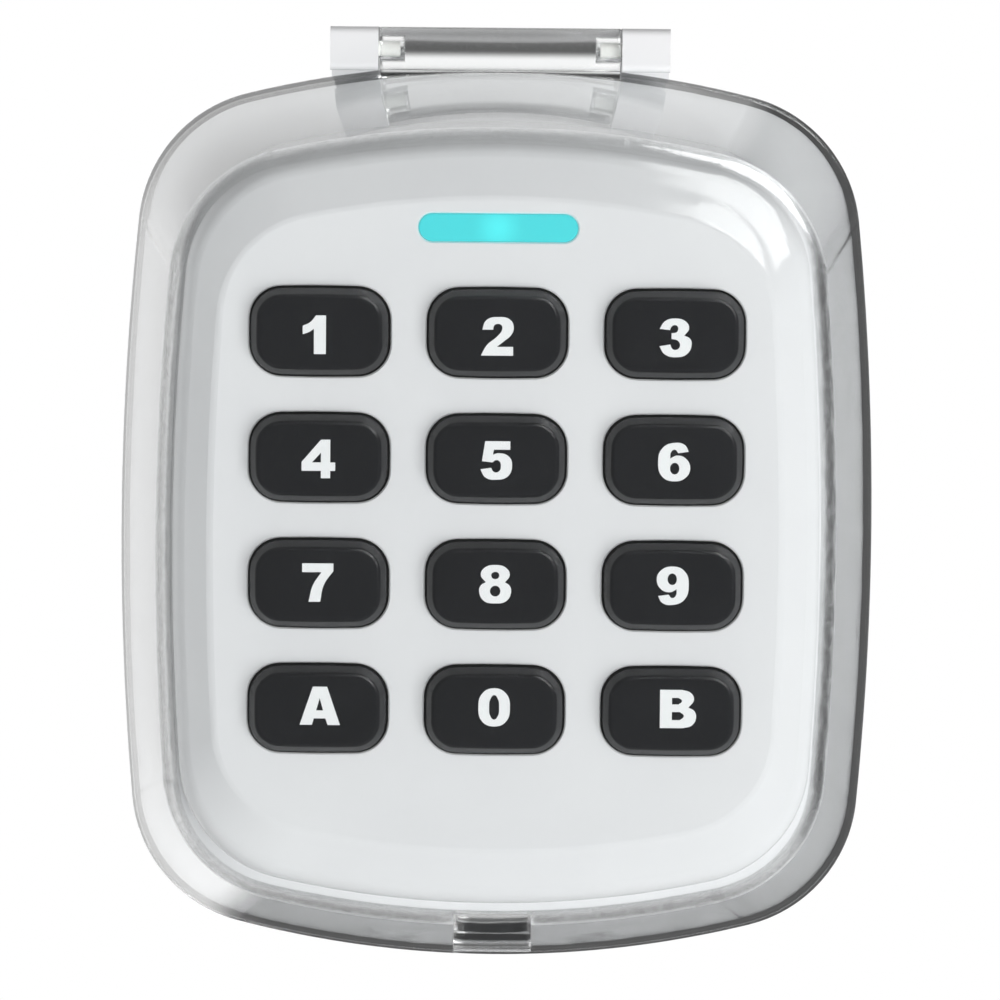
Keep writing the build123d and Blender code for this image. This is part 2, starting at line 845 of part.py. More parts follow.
with BuildPart() as wall_plate:
    with BuildSketch(layer(0)):
        add(rim_outline(rabbet_inset + plate_gap))
    extrude(amount=plate_thickness)
    with BuildSketch(layer(plate_thickness)):
        with Locations((0, (lock_tab_low + lock_tab_high) / 2)):
            Rectangle(2 * lock_tab_half_width, lock_tab_high - lock_tab_low)
    extrude(amount=lock_tab_depth - plate_thickness)
    with BuildSketch(Plane.XY.offset(lock_tab_low)):
        with Locations((0, -lock_depth)):
            Circle(lock_shank_radius + thread_bite)
    extrude(amount=lock_tab_high - lock_tab_low, mode=Mode.SUBTRACT)
    with BuildSketch(layer(plate_thickness)):
        with Locations(*[(x, (hook_leg_low + hook_leg_high) / 2) for x in (-hook_x, hook_x)]):
            Rectangle(2 * hook_half_width, hook_leg_high - hook_leg_low)
    extrude(amount=hook_depth - plate_thickness)
    with BuildSketch(layer(hook_nose_depth)):
        with Locations(*[(x, (hook_leg_low + hook_tip) / 2) for x in (-hook_x, hook_x)]):
            Rectangle(2 * hook_half_width, hook_tip - hook_leg_low)
    extrude(amount=hook_depth - hook_nose_depth)
    # post that holds the tamper plunger in while the case is on its plate
    with BuildSketch(layer(plate_thickness)):
        with Locations(tamper_place):
            Circle(tamper_post_radius)
    extrude(amount=tamper_tip_depth - plate_thickness)
    # four countersunk holes for the wall screws
    with Locations(layer(plate_thickness)):
        with Locations(*[(x, z) for x in (-wall_hole_x, wall_hole_x) for z in (-wall_hole_z, wall_hole_z)]):
            CounterSinkHole(wall_hole_radius, wall_hole_head_radius, depth=plate_thickness)
    # shallow pockets in the wall side, which leave a cross, a border and a pad round each hole
    with BuildSketch(layer(0)):
        with GridLocations(pocket_pitch_x, pocket_pitch_z, 2, 2):
            RectangleRounded(pocket_width, pocket_height, pocket_corner_radius)
        with GridLocations(2 * wall_hole_x, 2 * wall_hole_z, 2, 2):
            Circle(hole_pad_radius, mode=Mode.SUBTRACT)
    extrude(amount=pocket_depth, mode=Mode.SUBTRACT)
finish(wall_plate, "wall_plate")

seal_outer_gap = 0.35
seal_overhang = 0.1

with BuildPart() as plate_seal:
    with BuildSketch(layer(plate_thickness)):
        add(rim_outline(rabbet_inset + seal_outer_gap))
        add(rim_outline(cavity_inset - seal_overhang), mode=Mode.SUBTRACT)
    extrude(amount=seal_thickness)
finish(plate_seal, "plate_seal")
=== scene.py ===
from math import cos, pi, radians, sin

import bmesh
import bpy
from mathutils import Matrix, Vector


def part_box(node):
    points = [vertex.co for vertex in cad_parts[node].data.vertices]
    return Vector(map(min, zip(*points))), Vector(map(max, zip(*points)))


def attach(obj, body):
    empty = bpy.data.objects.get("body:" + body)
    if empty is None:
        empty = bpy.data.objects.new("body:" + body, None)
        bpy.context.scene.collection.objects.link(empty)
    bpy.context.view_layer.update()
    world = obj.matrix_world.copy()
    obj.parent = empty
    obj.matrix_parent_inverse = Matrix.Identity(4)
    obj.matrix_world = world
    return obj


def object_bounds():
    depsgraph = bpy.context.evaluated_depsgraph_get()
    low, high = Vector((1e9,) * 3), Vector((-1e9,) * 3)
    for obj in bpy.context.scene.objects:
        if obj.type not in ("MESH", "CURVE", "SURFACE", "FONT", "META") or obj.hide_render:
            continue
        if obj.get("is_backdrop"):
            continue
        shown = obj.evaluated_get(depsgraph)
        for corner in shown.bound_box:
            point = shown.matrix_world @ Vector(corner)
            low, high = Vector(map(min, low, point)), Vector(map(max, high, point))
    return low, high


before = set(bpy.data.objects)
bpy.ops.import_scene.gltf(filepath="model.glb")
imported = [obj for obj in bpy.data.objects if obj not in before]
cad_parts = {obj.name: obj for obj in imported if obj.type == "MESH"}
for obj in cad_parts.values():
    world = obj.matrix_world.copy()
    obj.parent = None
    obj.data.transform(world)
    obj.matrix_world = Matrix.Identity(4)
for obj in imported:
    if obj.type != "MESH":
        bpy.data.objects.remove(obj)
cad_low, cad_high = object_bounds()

MM = 0.001

# ---------------------------------------------------------------- front housing
# The white case: one injection moulding in gloss ABS, with a flange, a raised body and two
# hinge ears. The tool is polished, so the grain is very fine; the white wanders a little.
HOUSING_WHITE = "eeeeef"
HOUSING_SHADE = "e6e6e8"
ABS_IOR = 1.53
ABS_ROUGHNESS = 0.11
ABS_ROUGHNESS_SPREAD = 0.02
SPECKLE_MM = 0.25
SPECKLE_DEPTH_MM = 0.0004
# how far apart the shades of a moulding lie, and the values that most of its grain lies between
SHADES_MM = 14
GRAIN_LOW = 0.3
GRAIN_HIGH = 0.7


def linear(code):
    """An sRGB hex colour as linear red, green, blue and alpha."""
    colour = []
    for i in (0, 2, 4):
        level = int(code[i : i + 2], 16) / 255
        colour.append(level / 12.92 if level <= 0.04045 else ((level + 0.055) / 1.055) ** 2.4)
    return colour + [1]


def add_node(owner, kind, inputs=None, **settings):
    """Add a node to a material or the world, with its settings and its inputs.

    Each input is a value or another node's output.
    """
    node = owner.node_tree.nodes.new(kind)
    for name, value in settings.items():
        setattr(node, name, value)
    for name, value in (inputs or {}).items():
        if isinstance(value, bpy.types.NodeSocket):
            owner.node_tree.links.new(value, node.inputs[name])
        else:
            node.inputs[name].default_value = value
    return node


def new_material(name):
    """An empty node material with its output node."""
    material = bpy.data.materials.new(name)
    material.use_nodes = True
    material.node_tree.nodes.clear()
    return material, add_node(material, "ShaderNodeOutputMaterial")


def show(material, output, shader):
    """Wire a finished shader to the material's output."""
    material.node_tree.links.new(shader, output.inputs["Surface"])


def moulded(name, light, dark, roughness, ior, grain_mm, depth_mm, spread=0.05):
    """Moulded plastic or rubber: a colour that wanders a little, and a grain left by the tool.

    The grain also swings the roughness, by spread either way.
    """
    material, output = new_material(name)
    place = add_node(material, "ShaderNodeTexCoord")
    drift = add_node(
        material,
        "ShaderNodeTexNoise",
        {"Vector": place.outputs["Object"], "Scale": 1 / (SHADES_MM * MM), "Detail": 2.0},
    )
    grain = add_node(
        material,
        "ShaderNodeTexNoise",
        {"Vector": place.outputs["Object"], "Scale": 1 / (grain_mm * MM), "Detail": 3.0},
    )
    colour = add_node(
        material,
        "ShaderNodeMix",
        {"Factor": drift.outputs["Fac"], "A": linear(dark), "B": linear(light)},
        data_type="RGBA",
    )
    gloss = add_node(
        material,
        "ShaderNodeMapRange",
        {
            "Value": grain.outputs["Fac"],
            "From Min": GRAIN_LOW,
            "From Max": GRAIN_HIGH,
            "To Min": roughness - spread,
            "To Max": roughness + spread,
        },
    )
    bump = add_node(
        material,
        "ShaderNodeBump",
        {"Height": grain.outputs["Fac"], "Distance": depth_mm * MM, "Strength": 1.0},
    )
    shader = add_node(
        material,
        "ShaderNodeBsdfPrincipled",
        {
            "Base Color": colour.outputs["Result"],
            "Roughness": gloss.outputs["Result"],
            "IOR": ior,
            "Normal": bump.outputs["Normal"],
        },
    )
    show(material, output, shader.outputs["BSDF"])
    return material


def dress(node, material):
    """Give a CAD piece its finish."""
    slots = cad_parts[node].data.materials
    for i in range(len(slots)):
        slots[i] = material


housing_abs = moulded(
    "gloss_white_abs",
    HOUSING_WHITE,
    HOUSING_SHADE,
    roughness=ABS_ROUGHNESS,
    ior=ABS_IOR,
    grain_mm=SPECKLE_MM,
    depth_mm=SPECKLE_DEPTH_MM,
    spread=ABS_ROUGHNESS_SPREAD,
)
dress("front_housing", housing_abs)

# ---------------------------------------------------------------- hinge pins
# Two short acetal pins pressed into the ears; their tips show inside the clear barrel.
# Acetal is a little warmer and softer in gloss than the case.
pin_acetal = moulded(
    "natural_acetal", "f6f5f1", "efeeea", roughness=0.28, ior=1.48, grain_mm=0.3, depth_mm=0.001
)
dress("hinge_pins", pin_acetal)

# ---------------------------------------------------------------- clear cover
# One moulding in clear polycarbonate with its own hinge barrel and finger lug. Both faces are
# polished and the edges run softly into them, so it shows as dark and light lines where its
# walls and edges bend the light.
PC_IOR = 1.585
PC_TINT = "fbfcfc"
PC_THROUGH = "fcfdfd"
PC_EDGE_SOFTNESS = 0.5 * MM


def clear_polycarbonate():
    """Polished clear plastic; lamps and scattered light reach straight through it."""
    material, output = new_material("clear_polycarbonate")
    softened = add_node(material, "ShaderNodeBevel", {"Radius": PC_EDGE_SOFTNESS}, samples=4)
    glass = add_node(
        material,
        "ShaderNodeBsdfPrincipled",
        {
            "Base Color": linear(PC_TINT),
            "Roughness": 0.0,
            "IOR": PC_IOR,
            "Transmission Weight": 1.0,
            "Normal": softened.outputs["Normal"],
        },
    )
    through = add_node(material, "ShaderNodeBsdfTransparent", {"Color": linear(PC_THROUGH)})
    rays = add_node(material, "ShaderNodeLightPath")
    scattered = add_node(
        material,
        "ShaderNodeMath",
        {0: rays.outputs["Is Shadow Ray"], 1: rays.outputs["Is Diffuse Ray"]},
        operation="MAXIMUM",
    )
    either = add_node(
        material,
        "ShaderNodeMixShader",
        {"Fac": scattered.outputs["Value"], 1: glass.outputs["BSDF"], 2: through.outputs["BSDF"]},
    )
    show(material, output, either.outputs["Shader"])
    return material


dress("clear_cover", clear_polycarbonate())

# ---------------------------------------------------------------- keys
# Twelve tops of black silicone rubber with a bevelled edge, compression moulded: satin, with a
# very fine grain. Behind each one sits a pill of carbon-filled silicone, which is rougher.
KEYS = "1234567890ab"
key_rubber = moulded(
    "black_silicone", "18191c", "131417", roughness=0.36, ior=1.41, grain_mm=0.2, depth_mm=0.0015
)
pill_rubber = moulded(
    "carbon_silicone", "1a1a1a", "131313", roughness=0.6, ior=1.45, grain_mm=0.2, depth_mm=0.002
)
for key in KEYS:
    dress(f"key_{key}", key_rubber)
    dress(f"contact_pill_{key}", pill_rubber)

# ---------------------------------------------------------------- key legends
# White ink, pad printed on the keys in one thin film: plain heavy figures and two letters.
# Each outline runs in hundredths of the figure's height.
HUNDREDTHS = 100
SIX_WIDTH = 83
LEGEND_HEIGHT = 4.0 * MM
INK_THICKNESS = 0.03 * MM
# the printing plate's rows stand a little closer than the keys', and three legends sit off centre
LEGEND_ROWS = 0.981
LEGEND_DRIFT = 0.1 * MM
LEGEND_ASIDE = {"1": -0.5 * MM, "a": 0.3 * MM, "b": 0.7 * MM}
# c marks a sharp corner of an outline, s a smooth point
c, s = True, False
OUTLINES = {
    "1": [[(34, 100, c), (60, 100, c), (60, 0, c), (29, 0, c), (29, 65, c), (15, 56, s), (0, 51, c),
           (0, 73, c), (20, 83, s)]],
    "2": [[(0, 0, c), (83, 0, c), (83, 23, c), (41, 23, c), (60, 38, s), (78, 54, s), (84, 72, s),
           (76, 92, s), (45, 100, s), (13, 91, s), (3, 67, c), (31, 67, c), (34, 78, s), (43, 82, s),
           (53, 78, s), (54, 67, s), (42, 50, s), (15, 27, s)]],
    "3": [[(0, 73, c), (14, 93, s), (40, 100, s), (68, 92, s), (76, 75, s), (64, 56, c), (79, 48, s),
           (83, 34, s), (72, 9, s), (42, 0, s), (13, 8, s), (0, 28, c), (28, 33, c), (33, 22, s),
           (41, 19, s), (50, 23, s), (53, 33, s), (47, 43, s), (31, 47, c), (31, 62, c), (44, 65, s),
           (48, 73, s), (46, 80, s), (39, 83, s), (31, 79, s), (27, 70, c)]],
    "4": [[(50, 100, c), (74, 100, c), (74, 41, c), (87, 41, c), (87, 19, c), (74, 19, c), (74, 0, c),
           (50, 0, c), (50, 19, c), (0, 19, c), (0, 42, c)],
          [(50, 66, c), (50, 41, c), (27, 41, c)]],
    "5": [[(12, 100, c), (77, 100, c), (77, 78, c), (35, 78, c), (32, 65, c), (47, 69, s), (74, 60, s),
           (82, 37, s), (71, 9, s), (40, 0, s), (13, 6, s), (0, 27, c), (28, 31, c), (33, 22, s),
           (41, 19, s), (50, 24, s), (53, 35, s), (50, 47, s), (41, 51, s), (31, 45, c), (4, 48, c)]],
    "6": [[(79, 77, c), (69, 94, s), (43, 100, s), (11, 86, s), (0, 50, s), (11, 12, s), (43, 0, s),
           (73, 11, s), (83, 34, s), (73, 58, s), (49, 67, s), (31, 59, c), (34, 77, s), (43, 82, s),
           (52, 73, c)],
          [(43, 48, s), (55, 34, s), (43, 18, s), (31, 34, s)]],
    "7": [[(0, 100, c), (81, 100, c), (81, 80, c), (57, 45, s), (47, 0, c), (17, 0, c), (28, 43, s),
           (50, 77, c), (0, 77, c)]],
    "8": [[(42, 100, s), (70, 92, s), (79, 74, s), (67, 55, c), (79, 46, s), (83, 30, s), (70, 6, s),
           (42, 0, s), (13, 6, s), (0, 31, s), (4, 46, s), (17, 55, c), (4, 74, s), (13, 92, s)],
          [(42, 82, s), (52, 73, s), (42, 63, s), (31, 73, s)],
          [(42, 46, s), (55, 32, s), (42, 18, s), (28, 32, s)]],
    "0": [[(41, 100, s), (72, 86, s), (82, 50, s), (72, 13, s), (41, 0, s), (10, 13, s), (0, 50, s),
           (10, 86, s)],
          [(41, 82, s), (51, 71, s), (54, 50, s), (51, 28, s), (41, 18, s), (31, 28, s), (28, 50, s),
           (31, 71, s)]],
    "a": [[(34, 100, c), (71, 100, c), (105, 0, c), (73, 0, c), (67, 17, c), (37, 17, c), (32, 0, c),
           (0, 0, c)],
          [(52, 70, c), (61, 38, c), (43, 38, c)]],
    "b": [[(0, 100, c), (58, 100, c), (80, 92, s), (88, 75, s), (74, 54, c), (89, 45, s), (94, 29, s),
           (84, 8, s), (60, 0, c), (0, 0, c)],
          [(31, 79, c), (48, 79, c), (57, 71, s), (48, 62, c), (31, 62, c)],
          [(31, 42, c), (52, 42, c), (62, 32, s), (52, 21, c), (31, 21, c)]],
}
# a nine is a six turned half round
OUTLINES["9"] = [
    [(SIX_WIDTH - x, HUNDREDTHS - z, corner) for x, z, corner in loop] for loop in OUTLINES["6"]
]

legend_ink = moulded(
    "white_pad_ink", "f7f8f8", "f1f2f3", roughness=0.42, ior=1.5, grain_mm=0.3, depth_mm=0.0008
)
for key in KEYS:
    low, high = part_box(f"key_{key}")
    width = max(x for loop in OUTLINES[key] for x, z, corner in loop)
    curve = bpy.data.curves.new(f"legend_{key}", "CURVE")
    curve.dimensions = "2D"
    curve.fill_mode = "BOTH"
    curve.extrude = INK_THICKNESS / 2
    for loop in OUTLINES[key]:
        spline = curve.splines.new("BEZIER")
        spline.bezier_points.add(len(loop) - 1)
        spline.use_cyclic_u = True
        for point, (x, z, corner) in zip(spline.bezier_points, loop):
            right = (x - width / 2) / HUNDREDTHS * LEGEND_HEIGHT
            above = (z - HUNDREDTHS / 2) / HUNDREDTHS * LEGEND_HEIGHT
            point.co = (right, above, 0)
            point.handle_left_type = point.handle_right_type = "VECTOR" if corner else "AUTO"
    legend = bpy.data.objects.new(f"legend_{key}", curve)
    bpy.context.collection.objects.link(legend)
    legend.rotation_euler = (pi / 2, 0, 0)
    across = (low[0] + high[0]) / 2 + LEGEND_ASIDE.get(key, 0)
    up = (low[2] + high[2]) / 2 * LEGEND_ROWS + LEGEND_DRIFT
    legend.location = (across, low[1] - INK_THICKNESS / 2, up)
    curve.materials.append(legend_ink)
    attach(legend, f"button_{key}")

# ---------------------------------------------------------------- light bar and lamps
# A diffuser in milky cyan plastic, lit from behind by three small lamps on the board.
# The middle lamp shows as a small lighter spot, and a painted shade darkens the moulding's glow
# at its rim, where the case shades it.
BAR_BODY = "1fa5ad"
BAR_GLOW = "5acece"
BAR_SPOT = "6af8f6"
# painted shade: the darker glow at the diffuser's rim, where the case shades it
BAR_RIM_SHADE = "2c8f9b"
BAR_LIGHT = 0.65
SPOT_RADIUS = 3.0 * MM
RIM_SHADE_WIDTH = 0.35 * MM


def lit_diffuser():
    """Milky plastic that glows most brightly over its middle; painted shade dims it at its rim."""
    material, output = new_material("lit_cyan_diffuser")
    low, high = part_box("light_bar")
    middle = (Vector(low) + Vector(high)) / 2
    radius = (high[2] - low[2]) / 2
    straight = (high[0] - low[0]) / 2 - radius
    place = add_node(material, "ShaderNodeTexCoord")
    offset = add_node(
        material,
        "ShaderNodeVectorMath",
        {0: place.outputs["Object"], 1: (middle.x, low[1], middle.z)},
        operation="SUBTRACT",
    )
    parts = add_node(material, "ShaderNodeSeparateXYZ", {"Vector": offset.outputs["Vector"]})
    spread = add_node(material, "ShaderNodeMath", {0: parts.outputs["X"]}, operation="ABSOLUTE")
    beyond = add_node(
        material, "ShaderNodeMath", {0: spread.outputs["Value"], 1: straight}, operation="SUBTRACT"
    )
    past_straight = add_node(
        material, "ShaderNodeMath", {0: beyond.outputs["Value"], 1: 0.0}, operation="MAXIMUM"
    )
    from_line = add_node(
        material,
        "ShaderNodeCombineXYZ",
        {"X": past_straight.outputs["Value"], "Z": parts.outputs["Z"]},
    )
    reach = add_node(
        material, "ShaderNodeVectorMath", {0: from_line.outputs["Vector"]}, operation="LENGTH"
    )
    # painted shade: the glow darkens over the outer part of the rim, where the case shades it
    rim_shade = add_node(
        material,
        "ShaderNodeMapRange",
        {"Value": reach.outputs["Value"], "From Min": radius - RIM_SHADE_WIDTH, "From Max": radius},
        interpolation_type="SMOOTHSTEP",
    )
    from_middle = add_node(
        material, "ShaderNodeVectorMath", {0: offset.outputs["Vector"]}, operation="LENGTH"
    )
    spot = add_node(
        material,
        "ShaderNodeMapRange",
        {
            "Value": from_middle.outputs["Value"],
            "From Min": 0.0,
            "From Max": SPOT_RADIUS,
            "To Min": 1.0,
            "To Max": 0.0,
        },
        interpolation_type="SMOOTHSTEP",
    )
    glow = add_node(
        material,
        "ShaderNodeMix",
        {"Factor": spot.outputs["Result"], "A": linear(BAR_GLOW), "B": linear(BAR_SPOT)},
        data_type="RGBA",
    )
    colour = add_node(
        material,
        "ShaderNodeMix",
        {"Factor": rim_shade.outputs["Result"], "A": glow.outputs["Result"], "B": linear(BAR_RIM_SHADE)},
        data_type="RGBA",
    )
    shader = add_node(
        material,
        "ShaderNodeBsdfPrincipled",
        {
            "Base Color": linear(BAR_BODY),
            "Roughness": 0.3,
            "IOR": 1.49,
            "Emission Color": colour.outputs["Result"],
            "Emission Strength": BAR_LIGHT,
        },
    )
    show(material, output, shader.outputs["BSDF"])
    return material


dress("light_bar", lit_diffuser())
lamp_package = moulded(
    "lamp_package", "e9e6cf", "dedbc4", roughness=0.4, ior=1.5, grain_mm=0.3, depth_mm=0.001
)
dress("status_leds", lamp_package)

# ---------------------------------------------------------------- key mat and seal
# Soft pieces: the silicone mat that carries the keys, the foam rubber ring between the case and
# its rear plate, and the black rubber ring that the cover's rim closes on.
RUBBERS = {
    "key_mat": ("grey_silicone", "333336", "2b2b2e", 0.5, 1.41, 0.3, 0.003),
    "plate_seal": ("cellular_rubber", "1f1f1f", "161616", 0.8, 1.5, 0.4, 0.02),
    "rim_seal": ("nitrile_rubber", "2b2b2c", "232324", 0.5, 1.52, 0.3, 0.004),
}
for node, (name, light, dark, roughness, ior, grain_mm, depth_mm) in RUBBERS.items():
    dress(node, moulded(name, light, dark, roughness, ior, grain_mm, depth_mm))

# ---------------------------------------------------------------- circuit board
# Glass laminate under green solder mask, with the chip, radio, sounder and switch on it, and the
# battery tray behind it. All of these are inside the case.
PLASTIC_IOR = 1.5
PLASTICS = {
    "circuit_board": ("green_solder_mask", "1f6b39", "18572e", 0.35, 0.5, 0.002),
    "contact_tracks": ("printed_carbon", "26262a", "1d1d20", 0.7, 0.2, 0.004),
    "microcontroller": ("chip_epoxy", "232324", "1b1b1c", 0.55, 0.2, 0.003),
    "antenna": ("red_wire_sleeve", "b3241c", "9d1d16", 0.4, 0.3, 0.001),
    "buzzer": ("sounder_plastic", "232325", "1a1a1c", 0.5, 0.3, 0.004),
    "tamper_switch": ("switch_plastic", "2a2a2c", "202022", 0.45, 0.3, 0.003),
    "tamper_plunger": ("red_acetal", "c0392b", "a93226", 0.35, 0.3, 0.001),
    "battery_tray": ("black_abs", "242427", "1b1b1e", 0.5, 0.3, 0.004),
    "battery_cells": ("cell_sleeve_film", "4d545c", "434a52", 0.25, 0.4, 0.001),
}
for node, (name, light, dark, roughness, grain_mm, depth_mm) in PLASTICS.items():
    dress(node, moulded(name, light, dark, roughness, PLASTIC_IOR, grain_mm, depth_mm))

# the drawn marks in metal: their spacing, their scale along each axis, and the least and most
# that they leave of the roughness
MARKS_MM = 0.12
MARKS_SCALE = (0.08, 1.0, 1.0)
MARKS_LEAST = 0.7
MARKS_MOST = 1.3


def plated(name, light, dark, roughness):
    """Plated or tinned metal with fine drawn marks along the sheet."""
    material, output = new_material(name)
    place = add_node(material, "ShaderNodeTexCoord")
    stretch = add_node(
        material, "ShaderNodeMapping", {"Vector": place.outputs["Object"], "Scale": MARKS_SCALE}
    )
    marks = add_node(
        material,
        "ShaderNodeTexNoise",
        {"Vector": stretch.outputs["Vector"], "Scale": 1 / (MARKS_MM * MM), "Detail": 3.0},
    )
    colour = add_node(
        material,
        "ShaderNodeMix",
        {"Factor": marks.outputs["Fac"], "A": linear(dark), "B": linear(light)},
        data_type="RGBA",
    )
    gloss = add_node(
        material,
        "ShaderNodeMapRange",
        {
            "Value": marks.outputs["Fac"],
            "To Min": roughness * MARKS_LEAST,
            "To Max": roughness * MARKS_MOST,
        },
    )
    shader = add_node(
        material,
        "ShaderNodeBsdfPrincipled",
        {
            "Base Color": colour.outputs["Result"],
            "Roughness": gloss.outputs["Result"],
            "Metallic": 1.0,
        },
    )
    show(material, output, shader.outputs["BSDF"])
    return material


METALS = {
    "radio_module": ("tinned_sheet", "cfcfcb", "b9b9b5", 0.3),
    "battery_springs": ("nickelled_spring_wire", "cfccc4", "b8b5ad", 0.22),
    "battery_contacts": ("nickelled_strip", "cfccc4", "b8b5ad", 0.28),
    "board_screws": ("zinc_plate", "c9cbcd", "aeb1b5", 0.3),
    "lock_screw": ("stainless_steel", "c6c5c2", "a9a8a5", 0.28),
}
for node, (name, light, dark, roughness) in METALS.items():
    dress(node, plated(name, light, dark, roughness))

# ---------------------------------------------------------------- rear plate
# The plate that is screwed to the wall: white ABS like the case, but spark-eroded to a fine
# matt texture, which hides scratches.
plate_abs = moulded(
    "textured_white_abs",
    "e4e4e3",
    "dbdbda",
    roughness=0.55,
    ior=ABS_IOR,
    grain_mm=0.35,
    depth_mm=0.012,
)
dress("wall_plate", plate_abs)

# ---------------------------------------------------------------- floor
# A plain pale floor, a round sheet of white paper well below the keypad. Its middle keeps the
# shadow, and it runs out to pure white before its edge. From below it is clear.
FLOOR_DROP = 0.30
FLOOR_RADIUS = 0.5
FLOOR_SIDES = 64
PAPER_REACH = 0.02
PAPER_FADE = 0.16

floor_mesh = bpy.data.meshes.new("studio_floor")
form = bmesh.new()
edge = [
    form.verts.new((FLOOR_RADIUS * cos(turn), FLOOR_RADIUS * sin(turn), cad_low[2] - FLOOR_DROP))
    for turn in (2 * pi * side / FLOOR_SIDES for side in range(FLOOR_SIDES))
]
form.faces.new(edge)
form.to_mesh(floor_mesh)
form.free()
floor = bpy.data.objects.new("studio_floor", floor_mesh)
bpy.context.collection.objects.link(floor)
floor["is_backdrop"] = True


def white_paper():
    """White paper that fades out to pure white around its middle, and is clear from below."""
    material, output = new_material("white_paper")
    rays = add_node(material, "ShaderNodeLightPath")
    place = add_node(material, "ShaderNodeTexCoord")
    from_middle = add_node(
        material,
        "ShaderNodeVectorMath",
        {0: place.outputs["Object"], 1: (0, 0, cad_low[2] - FLOOR_DROP)},
        operation="DISTANCE",
    )
    fade = add_node(
        material,
        "ShaderNodeMapRange",
        {"Value": from_middle.outputs["Value"], "From Min": PAPER_REACH, "From Max": PAPER_FADE},
        interpolation_type="SMOOTHSTEP",
    )
    whiten = add_node(
        material,
        "ShaderNodeMath",
        {0: rays.outputs["Is Camera Ray"], 1: fade.outputs["Result"]},
        operation="MULTIPLY",
    )
    paper = add_node(material, "ShaderNodeBsdfDiffuse", {"Color": linear("f0f0f0")})
    white = add_node(material, "ShaderNodeEmission", {"Color": linear("ffffff"), "Strength": 1.0})
    from_above = add_node(
        material,
        "ShaderNodeMixShader",
        {"Fac": whiten.outputs["Value"], 1: paper.outputs["BSDF"], 2: white.outputs["Emission"]},
    )
    underside = add_node(material, "ShaderNodeNewGeometry")
    clear = add_node(material, "ShaderNodeBsdfTransparent", {"Color": linear("ffffff")})
    either_side = add_node(
        material,
        "ShaderNodeMixShader",
        {
            "Fac": underside.outputs["Backfacing"],
            1: from_above.outputs["Shader"],
            2: clear.outputs["BSDF"],
        },
    )
    show(material, output, either_side.outputs["Shader"])
    return material


floor_mesh.materials.append(white_paper())

# ---------------------------------------------------------------- room light
# White background sheets hang behind the keypad, above it and on its left, a square softbox
# stands high on the right in front, and the rest of the studio is dark. Only clear and glossy
# parts show that; matt parts get an even light.
ROOM_LIGHT = 0.23
DARK_STUDIO = 0.12
SHEET_LIGHT = 0.92
SOFTBOX_LIGHT = 8.0
# each edge of a patch of light: an axis, and where on it the light begins and is full
SHEET_ABOVE = (("Z", 0.04, 0.30), ("X", 0.30, 0.06), ("Y", 0.0, 0.2))
SHEET_ON_LEFT = (("X", -0.10, -0.22), ("Y", 0.0, 0.2))
SOFTBOX = (
    ("X", 0.15, 0.17),
    ("X", 0.80, 0.78),
    ("Z", 0.26, 0.28),
    ("Z", 0.95, 0.93),
    ("Y", 0.0, -0.02),
)
OPEN_SIDES = (("Y", 0.80, 0.55),)
# a ray's count of mirrorings stays below this until its first one
FIRST_MIRRORING = 0.5

world = bpy.data.worlds.new("studio")
bpy.context.scene.world = world
world.use_nodes = True
world.node_tree.nodes.clear()
rays = add_node(world, "ShaderNodeLightPath")
direction = add_node(world, "ShaderNodeTexCoord")
toward = add_node(world, "ShaderNodeSeparateXYZ", {"Vector": direction.outputs["Generated"]})


def light_patch(edges):
    """A soft-edged patch of light in the studio: 1 inside all its edges, 0 outside."""
    patch = 1.0
    for axis, begins, full in edges:
        inside = add_node(
            world,
            "ShaderNodeMapRange",
            {"Value": toward.outputs[axis], "From Min": begins, "From Max": full},
            interpolation_type="SMOOTHSTEP",
        )
        both = {0: patch, 1: inside.outputs["Result"]}
        patch = add_node(world, "ShaderNodeMath", both, operation="MULTIPLY").outputs["Value"]
    return patch


sheets = add_node(
    world,
    "ShaderNodeMath",
    {0: light_patch(SHEET_ABOVE), 1: light_patch(SHEET_ON_LEFT)},
    operation="MAXIMUM",
)
sheets_in_studio = add_node(
    world,
    "ShaderNodeMath",
    {0: sheets.outputs["Value"], 1: SHEET_LIGHT, 2: DARK_STUDIO},
    operation="MULTIPLY_ADD",
)
mirrored = add_node(
    world,
    "ShaderNodeMath",
    {0: light_patch(SOFTBOX), 1: SOFTBOX_LIGHT, 2: sheets_in_studio.outputs["Value"]},
    operation="MULTIPLY_ADD",
)
# a look straight through a clear part meets the white background, except from the front
unmirrored = add_node(
    world,
    "ShaderNodeMath",
    {0: rays.outputs["Glossy Depth"], 1: FIRST_MIRRORING},
    operation="LESS_THAN",
)
straight = add_node(
    world,
    "ShaderNodeMath",
    {0: unmirrored.outputs["Value"], 1: rays.outputs["Is Transmission Ray"]},
    operation="MULTIPLY",
)
through = add_node(
    world,
    "ShaderNodeMath",
    {0: light_patch(OPEN_SIDES), 1: straight.outputs["Value"]},
    operation="MULTIPLY",
)
studio_level = add_node(
    world,
    "ShaderNodeMath",
    {0: mirrored.outputs["Value"], 1: through.outputs["Value"]},
    operation="MAXIMUM",
)
clear_or_glossy = add_node(
    world,
    "ShaderNodeMath",
    {0: rays.outputs["Is Glossy Ray"], 1: rays.outputs["Is Transmission Ray"]},
    operation="MAXIMUM",
)
seen = add_node(
    world,
    "ShaderNodeMix",
    {"Factor": clear_or_glossy.outputs["Value"], "A": ROOM_LIGHT, "B": studio_level.outputs["Value"]},
    data_type="FLOAT",
)
level = add_node(
    world,
    "ShaderNodeMix",
    {"Factor": rays.outputs["Is Camera Ray"], "A": seen.outputs["Result"], "B": 1.0},
    data_type="FLOAT",
)
sky = add_node(
    world, "ShaderNodeBackground", {"Color": linear("ffffff"), "Strength": level.outputs["Result"]}
)
add_node(world, "ShaderNodeOutputWorld", {"Surface": sky.outputs["Background"]})

